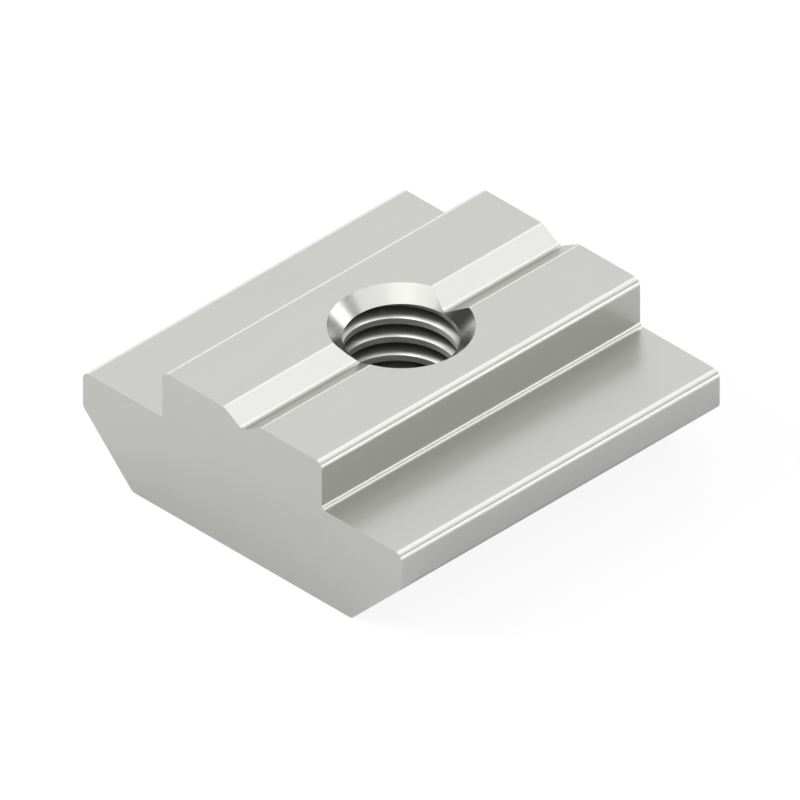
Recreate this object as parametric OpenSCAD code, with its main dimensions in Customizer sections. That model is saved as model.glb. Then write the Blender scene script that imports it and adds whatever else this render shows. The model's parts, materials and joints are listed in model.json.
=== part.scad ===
// Slot nut for a T-slotted profile: one steel block with a T-shaped section.
// The neck slides in the mouth of the slot and the flange bears up under its lips.
// The hole's axis is Z, the slot runs along Y, and Z = 0 is the underside.

/* [Body] */
// Length of the nut along the slot
nut_l = 16; // [10:0.5:40]

/* [Neck] */
// Width of the neck, which runs in the mouth of the slot
neck_w = 8; // [6:0.1:10]
// Height of the neck above the flange
neck_h = 2; // [1:0.1:6]

/* [Flange] */
// Width across the flange
flange_w = 16; // [12:0.5:24]
// Thickness of the flange, from the underside to the shoulders
flange_h = 4; // [2.5:0.1:5.5]
// Height of the flange's upright edge, above the bevel
flange_edge_h = 1.5; // [0.8:0.1:2]
// Slope of the bevel under the flange, from horizontal
bevel_angle = 45; // [35:1:60]

/* [Groove] */
// Width of the V groove where it opens in the top face
groove_w = 1.86; // [1:0.02:2.4]
// Angle between the walls of the V groove
groove_angle = 120; // [100:5:140]

/* [Tapped hole] */
// Nominal diameter of the thread
thread_d = 5; // [3:0.5:6]
// Pitch of the thread
thread_pitch = 0.8; // [0.5:0.1:1]
// How much wider than the thread the countersinks open
countersink_lip = 0.3; // [0.1:0.05:1]
// Angle of the countersinks, from side to side
countersink_angle = 90; // [80:5:120]

/* [Edges] */
// Radius of the outer edges along the nut
edge_r = 0.3; // [0.1:0.05:0.5]
// Radius in the corners between the neck and the shoulders
neck_fillet_r = 0.2; // [0.1:0.05:0.5]
// Radius along the bottom of the V groove
groove_root_r = 0.3; // [0.1:0.05:0.4]
// Radius of the two edges of the V groove
groove_edge_r = 0.25; // [0.1:0.05:0.4]

/* [Hidden] */
$fn = 96;
steel = [0.82, 0.82, 0.80];

nut_h = flange_h + neck_h;
bevel_h = flange_h - flange_edge_h;
base_w = flange_w - 2 * bevel_h / tan(bevel_angle);
groove_depth = groove_w / 2 / tan(groove_angle / 2);

// The bore is the tapping drill's, so its wall stands for the crests of the thread
bore_d = thread_d - thread_pitch;
countersink_d = thread_d + countersink_lip;
countersink_h = (countersink_d - bore_d) / 2 / tan(countersink_angle / 2);
// How far a cutter runs on past the face that it opens in
run_out = 1;

// Corners of the right half of the section, from the underside up, as [x, z, radius]
half_corners = [
    [base_w / 2, 0, edge_r],
    [flange_w / 2, bevel_h, edge_r],
    [flange_w / 2, flange_h, edge_r],
    [neck_w / 2, flange_h, neck_fillet_r],
    [neck_w / 2, nut_h, edge_r],
    [groove_w / 2, nut_h, groove_edge_r]
];
groove_root = [0, nut_h - groove_depth, groove_root_r];
corners = concat(
    half_corners,
    [groove_root],
    [for (i = [len(half_corners) - 1:-1:0])
        [-half_corners[i].x, half_corners[i].y, half_corners[i].z]]
);

function flat(corner) = [corner.x, corner.y];
function unit(v) = v / norm(v);
// Directions from corner i to the corners before and after it
function back(i) = unit(flat(corners[(i + len(corners) - 1) % len(corners)]) - flat(corners[i]));
function ahead(i) = unit(flat(corners[(i + 1) % len(corners)]) - flat(corners[i]));
function half_angle(i) = acos(back(i) * ahead(i)) / 2;
// The outline runs anticlockwise, so it turns right at a hollow corner
function is_hollow(i) = cross(ahead(i), back(i)) < 0;

// What lies between corner i and the circle that touches both of its sides.
// Its tip runs on past the corner, so that it also overlaps what it joins.
module corner_sliver(i) {
    corner = flat(corners[i]);
    r = corners[i].z;
    reach = r / tan(half_angle(i));
    centre = corner + unit(back(i) + ahead(i)) * r / sin(half_angle(i));
    tip = 2 * corner - centre;
    difference() {
        polygon([tip, corner + reach * back(i), centre, corner + reach * ahead(i)]);
        translate(centre) circle(r);
    }
}

// The nut's section: rounding takes metal from the outer corners and adds it in the hollow ones
module section() {
    difference() {
        union() {
            polygon([for (corner = corners) flat(corner)]);
            for (i = [0:len(corners) - 1]) if (is_hollow(i)) corner_sliver(i);
        }
        for (i = [0:len(corners) - 1]) if (!is_hollow(i)) corner_sliver(i);
    }
}

// The space of the hole: a straight bore between two countersinks
module hole() {
    mouth_r = countersink_d / 2 + run_out * tan(countersink_angle / 2);
    rotate_extrude() polygon([
        [0, -run_out],
        [mouth_r, -run_out],
        [bore_d / 2, countersink_h],
        [bore_d / 2, nut_h - countersink_h],
        [mouth_r, nut_h + run_out],
        [0, nut_h + run_out]
    ]);
}

module slot_nut() {
    color(steel) difference() {
        rotate([90, 0, 0]) linear_extrude(nut_l, center = true) section();
        hole();
    }
}

slot_nut();
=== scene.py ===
"""Looks of the slot nut: one block of bright plated steel with its M5 thread, in a white studio.

The nut's sizes are in millimetres, as in the part's source. MM turns them into Blender's metres.
The floor, the lamps and the card are placed in metres.
The nut's slot runs along Y, the hole's axis is Z, and Z = 0 is the underside.
"""

import json
import math

import bmesh
import bpy
from mathutils import Matrix, Vector


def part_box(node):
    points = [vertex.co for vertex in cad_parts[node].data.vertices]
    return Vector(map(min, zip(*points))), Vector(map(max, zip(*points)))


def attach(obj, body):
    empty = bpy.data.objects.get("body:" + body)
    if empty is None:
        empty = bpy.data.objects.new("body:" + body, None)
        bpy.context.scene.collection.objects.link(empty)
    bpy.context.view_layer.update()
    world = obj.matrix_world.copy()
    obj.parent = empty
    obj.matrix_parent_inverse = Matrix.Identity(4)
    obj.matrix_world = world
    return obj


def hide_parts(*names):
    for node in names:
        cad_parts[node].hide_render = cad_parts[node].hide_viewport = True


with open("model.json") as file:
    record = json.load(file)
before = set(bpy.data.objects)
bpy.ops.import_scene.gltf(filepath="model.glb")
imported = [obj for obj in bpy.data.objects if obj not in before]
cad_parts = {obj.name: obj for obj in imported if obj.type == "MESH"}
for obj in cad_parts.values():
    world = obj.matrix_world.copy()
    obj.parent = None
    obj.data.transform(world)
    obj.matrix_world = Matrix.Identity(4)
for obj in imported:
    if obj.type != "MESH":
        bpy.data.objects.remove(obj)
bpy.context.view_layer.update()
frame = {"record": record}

MM = 0.001

# The block, from the frame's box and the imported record
low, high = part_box("slot_nut")
nut_l = (high.y - low.y) / MM
flange_w = (high.x - low.x) / MM
nut_h = (high.z - low.z) / MM
mounts = {mount["name"]: mount for mount in frame["record"]["mounts"]}
flange_h = mounts["shoulder_right"]["pos_m"][2] / MM
bore_r = mounts["tapped_hole"]["dims"]["r_mm"]
bore_l = mounts["tapped_hole"]["dims"]["length_mm"]
countersink_h = (nut_h - bore_l) / 2

# The rest of the section
neck_w = 8
bevel_h = 2.5
base_w = flange_w - 2 * bevel_h
groove_w = 1.86
groove_angle = math.radians(120)
groove_depth = groove_w / 2 / math.tan(groove_angle / 2)
edge_r = 0.3
neck_fillet_r = 0.2
groove_root_r = 0.3
groove_edge_r = 0.25

# The thread: a right-hand M5 x 0.8, whose crests are the bore's wall
pitch = 0.8
thread_r = 2.5
flank_angle = math.radians(30)
root_flat = pitch / 8
# The turns' lower edges pass the +X side of the bore at this height and at each pitch above it
thread_start = 0.52
# The height of the strip under the top countersink that keeps the countersink's darker finish, without
# the wall's painted light
lip_h = 0.25

# How far the tools that cut the block reach past it, and the thread's tool into the bore
run_out = 1
overlap = 0.1

# How finely round stretches are divided, and the sharpest turn between faces that look like one
ARC_STEPS = 12
TURN_STEPS = 240
SMOOTH_TURN = math.radians(28)

# Points closer than this become one
ONE_POINT = 0.0001

# A loft's faces begin with its two ends
END_FACES = 2

# The finishes, by their place in the nut's list of materials
SATIN, BURNISHED, CUT, BORED, TAPPED = range(5)

WHITE = (1, 1, 1, 1)


def rounded(corners):
    """Outline of an anticlockwise polygon whose corners, each (x, z, r), are rounded by arcs."""
    outline = []
    for i, (x, z, r) in enumerate(corners):
        corner = Vector((x, z))
        back = (Vector(corners[i - 1][:2]) - corner).normalized()
        ahead = (Vector(corners[(i + 1) % len(corners)][:2]) - corner).normalized()
        half_angle = back.angle(ahead) / 2
        centre = corner + (back + ahead).normalized() * r / math.sin(half_angle)
        spoke = corner + back * r / math.tan(half_angle) - centre
        turn = math.pi - 2 * half_angle
        if ahead.x * back.y - ahead.y * back.x < 0:
            turn = -turn
        for step in range(ARC_STEPS + 1):
            outline.append(centre + Matrix.Rotation(turn * step / ARC_STEPS, 2) @ spoke)
    return outline


def loft(name, rows, finish=CUT):
    """A closed solid through rows of points, in millimetres, all in one finish.
    Each row runs anticlockwise as seen from the first row towards the last."""
    size = len(rows[0])
    points = [point for row in rows for point in row]
    faces = [tuple(range(size)), tuple(range(len(points) - 1, len(points) - 1 - size, -1))]
    for first in range(0, len(points) - size, size):
        for i in range(size):
            j = (i + 1) % size
            faces.append((first + j, first + i, first + i + size, first + j + size))
    mesh = bpy.data.meshes.new(name)
    mesh.from_pydata(points, [], faces)
    for material in finishes:
        mesh.materials.append(material)
    for face in mesh.polygons:
        face.material_index = finish
    solid = bpy.data.objects.new(name, mesh)
    bpy.context.scene.collection.objects.link(solid)
    return solid


def combine(solid, tool, operation):
    """Cuts the solid with the tool, by DIFFERENCE or INTERSECT, and removes the tool."""
    modifier = solid.modifiers.new(operation, "BOOLEAN")
    modifier.operation = operation
    modifier.solver = "EXACT"
    modifier.object = tool
    evaluated = solid.evaluated_get(bpy.context.evaluated_depsgraph_get())
    mesh = bpy.data.meshes.new_from_object(evaluated)
    solid.modifiers.clear()
    solid.data = mesh
    bpy.data.objects.remove(tool)


def join_points(mesh):
    """Joins the points that the cuts leave on top of each other, so that no face is empty."""
    shape = bmesh.new()
    shape.from_mesh(mesh)
    bmesh.ops.remove_doubles(shape, verts=shape.verts, dist=ONE_POINT)
    shape.to_mesh(mesh)
    shape.free()


def block():
    """The nut without its hole: the T-shaped section, drawn out along Y."""
    half = [
        (base_w / 2, 0, edge_r),
        (flange_w / 2, bevel_h, edge_r),
        (flange_w / 2, flange_h, edge_r),
        (neck_w / 2, flange_h, neck_fillet_r),
        (neck_w / 2, nut_h, edge_r),
        (groove_w / 2, nut_h, groove_edge_r),
    ]
    root = (0, nut_h - groove_depth, groove_root_r)
    outline = rounded(half + [root] + [(-x, z, r) for x, z, r in reversed(half)])
    rows = [[(x, y, z) for x, z in outline] for y in (-nut_l / 2, nut_l / 2)]
    solid = loft("tapped_slot_nut", rows, SATIN)
    # Each corner gives the faces of its arc, and then one flat face
    for i, side in enumerate(solid.data.polygons[END_FACES:]):
        if i % (ARC_STEPS + 1) < ARC_STEPS:
            side.material_index = BURNISHED
    return solid


def turned(name, profile):
    """A solid turned about Z from a profile of (r, z) points that runs downwards."""
    angles = [math.tau * step / TURN_STEPS for step in range(TURN_STEPS)]
    rows = []
    for r, z in profile:
        rows.append([(r * math.cos(angle), r * math.sin(angle), z) for angle in angles])
    return loft(name, rows)


def hole():
    """The bore with its two 45 degree countersinks. Its wall below the lip has its own lighter finish,
    which is painted light on the thread's crests.
    """
    mouth_r = bore_r + countersink_h + run_out
    solid = turned("hole", [
        (mouth_r, nut_h + run_out),
        (bore_r, nut_h - countersink_h),
        (bore_r, nut_h - countersink_h - lip_h),
        (bore_r, countersink_h),
        (mouth_r, -run_out),
    ])
    # The faces run down in bands: the countersink, the lip, the wall and the other countersink
    wall = END_FACES + 2 * TURN_STEPS
    # The wall's finish is a lighter copy of the steel, painted light on the thread's crests
    for side in solid.data.polygons[wall:wall + TURN_STEPS]:
        side.material_index = BORED
    return solid


def thread():
    """The helical space that the tap cuts outside the bore, between the two countersinks."""
    inner_r = bore_r - overlap
    root = root_flat / 2
    opening = root + (thread_r - inner_r) * math.tan(flank_angle)
    section = [(inner_r, -opening), (thread_r, -root), (thread_r, root), (inner_r, opening)]
    opening_at_bore = root + (thread_r - bore_r) * math.tan(flank_angle)
    middle = thread_start + opening_at_bore - pitch
    turns = math.ceil(nut_h / pitch) + 1
    rows = []
    for step in range(turns * TURN_STEPS + 1):
        angle = math.tau * step / TURN_STEPS
        rise = middle + pitch * step / TURN_STEPS
        rows.append([(r * math.cos(angle), r * math.sin(angle), rise + z) for r, z in section])
    ridge = loft("thread", rows, TAPPED)
    slab_r = thread_r + run_out
    slab = turned("slab", [(slab_r, nut_h - countersink_h), (slab_r, countersink_h)])
    combine(ridge, slab, "INTERSECT")
    return ridge


def slot_nut():
    """The whole nut, with its flat faces flat and its round edges smooth."""
    nut = block()
    combine(nut, hole(), "DIFFERENCE")
    combine(nut, thread(), "DIFFERENCE")
    join_points(nut.data)
    nut.data.transform(Matrix.Scale(MM, 4))
    nut.data.shade_smooth()
    nut.data.set_sharp_from_angle(angle=SMOOTH_TURN)
    normals = nut.modifiers.new("flat_faces", "WEIGHTED_NORMAL")
    # At full weight, the largest face around a point sets the normal there
    normals.mode = "FACE_AREA"
    normals.weight = 100
    normals.keep_sharp = True
    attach(nut, "root")
    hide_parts("slot_nut")


def place_on_nut(nodes, links, scale):
    """The place on the object, in its own coordinates, times a scale along X, Y and Z."""
    coordinates = nodes.new("ShaderNodeTexCoord")
    mapping = nodes.new("ShaderNodeMapping")
    mapping.inputs["Scale"].default_value = scale
    links.new(coordinates.outputs["Object"], mapping.inputs["Vector"])
    return mapping.outputs["Vector"]


def stretched_noise(nodes, links, cells_per_mm, detail):
    """Noise over the object, with a number of cells per millimetre along X, Y and Z."""
    noise = nodes.new("ShaderNodeTexNoise")
    noise.inputs["Scale"].default_value = 1
    noise.inputs["Detail"].default_value = detail
    scale = [cells / MM for cells in cells_per_mm]
    links.new(place_on_nut(nodes, links, scale), noise.inputs["Vector"])
    return noise.outputs["Fac"]


def distance_from_axis(nodes, links):
    """The distance from the hole's axis, in metres."""
    length = nodes.new("ShaderNodeVectorMath")
    length.operation = "LENGTH"
    links.new(place_on_nut(nodes, links, (1, 1, 0)), length.inputs[0])
    return length.outputs["Value"]


def ramp(nodes, links, source, span, ends):
    """A value that goes from one end to the other as the source crosses the span, and stays there."""
    node = nodes.new("ShaderNodeMapRange")
    node.inputs["From Min"].default_value, node.inputs["From Max"].default_value = span
    node.inputs["To Min"].default_value, node.inputs["To Max"].default_value = ends
    links.new(source, node.inputs["Value"])
    return node.outputs["Result"]


def calculated(nodes, links, operation, *values):
    """The result of a Math node. Each of its values is a number or comes from another node."""
    node = nodes.new("ShaderNodeMath")
    node.operation = operation
    for socket, value in zip(node.inputs, values):
        if isinstance(value, (int, float)):
            socket.default_value = value
        else:
            links.new(value, socket)
    return node.outputs["Value"]


def mixed(nodes, links, share, first, second):
    """The first shader, but for this share of the second."""
    node = nodes.new("ShaderNodeMixShader")
    links.new(share, node.inputs["Fac"])
    links.new(first.outputs[0], node.inputs[1])
    links.new(second.outputs[0], node.inputs[2])
    return node.outputs[0]


def plated_steel(name, dark, light, smooth, rough, grazing=1, metallic_share=1, paint_shade_by_depth=False):
    """Bright plated steel, drawn along Y, with a faint grain and faint clouds in its colour.
    Dark and light are the colour's ends, smooth and rough those of its roughness.
    Grazing is the share of its shine that it keeps where it is seen edge on.
    The metallic share is the part of it that shines as metal; the rest is lit as a matte, non-metal
    surface. On the bore's wall a lighter colour with a matte share is painted light.
    For the thread the colour has no clouds. It is painted light at the crests as a painted highlight,
    and painted dark in the roots as painted shade."""
    grain_cells, grain_detail = (9, 0.25, 9), 3
    cloud_cells, cloud_detail = (0.3, 0.12, 0.3), 2
    bump_depth, bump_strength = 0.002, 0.15

    material = bpy.data.materials.new(name)
    material.use_nodes = True
    nodes, links = material.node_tree.nodes, material.node_tree.links
    shader = nodes["Principled BSDF"]
    shader.inputs["Metallic"].default_value = metallic_share
    shader.inputs["Specular Tint"].default_value = (grazing, grazing, grazing, 1)

    colour = nodes.new("ShaderNodeMix")
    colour.data_type = "RGBA"
    colour.inputs["A"].default_value = (*dark, 1)
    colour.inputs["B"].default_value = (*light, 1)
    # The thread's painted shade: the colour darkens from the crests into the roots, by the distance
    # from the axis
    if paint_shade_by_depth:
        from_crest_to_root = (bore_r * MM, thread_r * MM)
        shade = ramp(nodes, links, distance_from_axis(nodes, links), from_crest_to_root, (1, 0))
    else:
        shade = stretched_noise(nodes, links, cloud_cells, cloud_detail)
    links.new(shade, colour.inputs["Factor"])
    links.new(colour.outputs["Result"], shader.inputs["Base Color"])

    grain = stretched_noise(nodes, links, grain_cells, grain_detail)
    links.new(ramp(nodes, links, grain, (0, 1), (smooth, rough)), shader.inputs["Roughness"])

    bump = nodes.new("ShaderNodeBump")
    bump.inputs["Strength"].default_value = bump_strength
    bump.inputs["Distance"].default_value = bump_depth * MM
    links.new(grain, bump.inputs["Height"])
    links.new(bump.outputs["Normal"], shader.inputs["Normal"])
    return material


def white_floor():
    """A large floor of grey acrylic, under a glow that makes it white to the camera.
    The glow lets a share of the acrylic through, and with it the nut's faint shadow."""
    floor_size = 2
    acrylic_colour, acrylic_roughness = (0.55, 0.55, 0.55, 1), 0.1
    glow_level = 1.03
    glow_to_camera, glow_in_mirrors = 0.88, 0.05

    bpy.ops.mesh.primitive_plane_add(size=floor_size, location=(0, 0, 0))
    floor = bpy.context.object
    floor.name = "floor"
    material = bpy.data.materials.new("floor")
    material.use_nodes = True
    nodes, links = material.node_tree.nodes, material.node_tree.links
    nodes.clear()
    acrylic = nodes.new("ShaderNodeBsdfPrincipled")
    acrylic.inputs["Base Color"].default_value = acrylic_colour
    acrylic.inputs["Roughness"].default_value = acrylic_roughness
    glow = nodes.new("ShaderNodeEmission")
    glow.inputs["Color"].default_value = WHITE
    glow.inputs["Strength"].default_value = glow_level

    ray = nodes.new("ShaderNodeLightPath").outputs
    mirrored = calculated(nodes, links, "ADD", ray["Is Glossy Ray"], ray["Is Transmission Ray"])
    in_mirrors = calculated(nodes, links, "MULTIPLY", mirrored, glow_in_mirrors)
    share = calculated(nodes, links, "MULTIPLY_ADD", ray["Is Camera Ray"], glow_to_camera, in_mirrors)
    output = nodes.new("ShaderNodeOutputMaterial")
    links.new(mixed(nodes, links, share, acrylic, glow), output.inputs["Surface"])
    floor.data.materials.append(material)


def white_world():
    """The studio's walls, lighter on the left and higher up, and its ceiling, dimmer straight above.
    The camera sees plain white in their place."""
    world = bpy.data.worlds.new("studio")
    bpy.context.scene.world = world
    world.use_nodes = True
    nodes, links = world.node_tree.nodes, world.node_tree.links
    walls = nodes["Background"]
    walls.inputs["Color"].default_value = WHITE
    direction = nodes.new("ShaderNodeTexCoord")
    along = nodes.new("ShaderNodeSeparateXYZ")
    links.new(direction.outputs["Generated"], along.inputs[0])
    to_the_right = ramp(nodes, links, along.outputs["X"], span=(-0.4, 0.7), ends=(1.12, 0.35))
    up_the_walls = ramp(nodes, links, along.outputs["Z"], span=(0, 0.5), ends=(0.35, 1))
    overhead = ramp(nodes, links, along.outputs["Z"], span=(0.8, 0.98), ends=(1, 0.05))
    level = calculated(nodes, links, "MULTIPLY", to_the_right, up_the_walls)
    level = calculated(nodes, links, "MULTIPLY", level, overhead)
    links.new(level, walls.inputs["Strength"])

    backdrop = nodes.new("ShaderNodeBackground")
    backdrop.inputs["Color"].default_value = WHITE
    backdrop.inputs["Strength"].default_value = 1
    ray = nodes.new("ShaderNodeLightPath").outputs
    seen = mixed(nodes, links, ray["Is Camera Ray"], walls, backdrop)
    links.new(seen, nodes["World Output"].inputs["Surface"])


def softbox(name, place, facing, width, height, level, shape="RECTANGLE"):
    """A soft lamp that the camera doesn't see. Its place and size are in metres.
    At level 1, a rectangle adds plain white to the walls behind it, and an ellipse, which has
    the same power on less area, adds 4 / pi times as much."""
    lamp = bpy.data.lights.new(name, "AREA")
    lamp.shape = shape
    lamp.size = width
    lamp.size_y = height
    lamp.energy = level * math.pi * width * height
    holder = bpy.data.objects.new(name, lamp)
    holder.location = place
    holder.rotation_mode = "QUATERNION"
    holder.rotation_quaternion = Vector(facing).to_track_quat("-Z", "Y")
    holder.visible_camera = False
    bpy.context.scene.collection.objects.link(holder)
    return holder


def lamps():
    """The studio's lamps, each for the faces of the nut that mirror it."""
    down = (0, 0, -1)

    # The left wall of the groove, and the upper edges
    softbox("overhead", (0.18, -0.015, 0.5), down, width=0.88, height=0.93, level=1.31)

    # The flanks of the thread
    softbox("zenith", (0.035, -0.075, 0.48), down, width=0.16, height=0.16, level=1.1, shape="ELLIPSE")

    # The back of the countersink
    softbox("front", (0.26, -0.27, 0.49), down, width=0.36, height=0.36, level=0.22, shape="ELLIPSE")

    # The edges of the right side, and the left of the countersink
    softbox("back_panel", (0.487, 0.5, 0.148), (0, -1, 0), width=0.826, height=0.296, level=2.5)

    # The edges of the left side, and the right of the countersink
    softbox("left_panel", (-0.644, 0.286, 0.17), (1, -0.53, 0), width=0.6, height=0.3, level=1.1)

    # The floor in front of the nut, which the end face mirrors. The metal doesn't mirror this lamp
    key = softbox("key", (-0.38, -0.38, 0.31), (1, 1, -0.82), width=0.3, height=0.3, level=20)
    key.visible_glossy = False


def black_card(place, facing, width, height):
    """A dark card beside the nut, unseen by the camera. It darkens one side of the countersink."""
    card_colour = (0.03, 0.03, 0.03, 1)
    bpy.ops.mesh.primitive_plane_add(size=1, location=place)
    card = bpy.context.object
    card.name = "black_card"
    card.scale = (width, height, 1)
    card.rotation_mode = "QUATERNION"
    card.rotation_quaternion = Vector(facing).to_track_quat("Z", "Y")
    card.visible_camera = False
    material = bpy.data.materials.new("black_card")
    material.use_nodes = True
    material.node_tree.nodes["Principled BSDF"].inputs["Base Color"].default_value = card_colour
    card.data.materials.append(material)


def camera():
    """A parallel view along the (-1, 1, -1) diagonal, framed as in the photograph."""
    # The picture's middle, in millimetres to the right of and above the middle of the nut's base
    middle_right, middle_up = -0.046, 2.246
    picture_px = 800
    px_per_mm = 28.145
    distance = 0.2
    nearest, farthest = 0.001, 10

    back = Vector((1, -1, 1)).normalized()
    right = Vector((1, 1, 0)).normalized()
    up = back.cross(right)
    lens = bpy.data.cameras.new("camera")
    lens.type = "ORTHO"
    lens.ortho_scale = picture_px / px_per_mm * MM
    lens.clip_start = nearest
    lens.clip_end = farthest
    eye = bpy.data.objects.new("camera", lens)
    place = (right * middle_right + up * middle_up) * MM + back * distance
    turn = Matrix((right, up, back)).transposed()
    eye.matrix_world = Matrix.LocRotScale(place, turn.to_quaternion(), None)
    bpy.context.scene.collection.objects.link(eye)
    bpy.context.scene.camera = eye


finishes = [
    plated_steel("satin_faces", (0.505, 0.505, 0.485), (0.525, 0.525, 0.505), 0.28, 0.34, grazing=0.72),
    plated_steel("burnished_edges", (0.5, 0.5, 0.48), (0.52, 0.52, 0.5), 0.25, 0.31),
    plated_steel("cut_hole", (0.46, 0.46, 0.44), (0.49, 0.49, 0.47), 0.22, 0.28),
    # The bore's wall, which is the thread's crests: a lighter, part matte copy of the steel, as painted
    # light
    plated_steel("bored_wall", (0.6, 0.6, 0.58), (0.63, 0.63, 0.61), 0.3, 0.36, metallic_share=0.82),
    # The thread: painted highlight at the crests and painted shade in the roots
    plated_steel("tapped_thread", (0.3, 0.3, 0.29), (0.76, 0.76, 0.74), 0.22, 0.28, paint_shade_by_depth=True),
]
slot_nut()
white_floor()
white_world()
lamps()
black_card((-0.649, -0.262, 0.35), (1, 0.4, 0), width=0.68, height=0.48)
camera()
bpy.context.scene.view_settings.view_transform = "Standard"
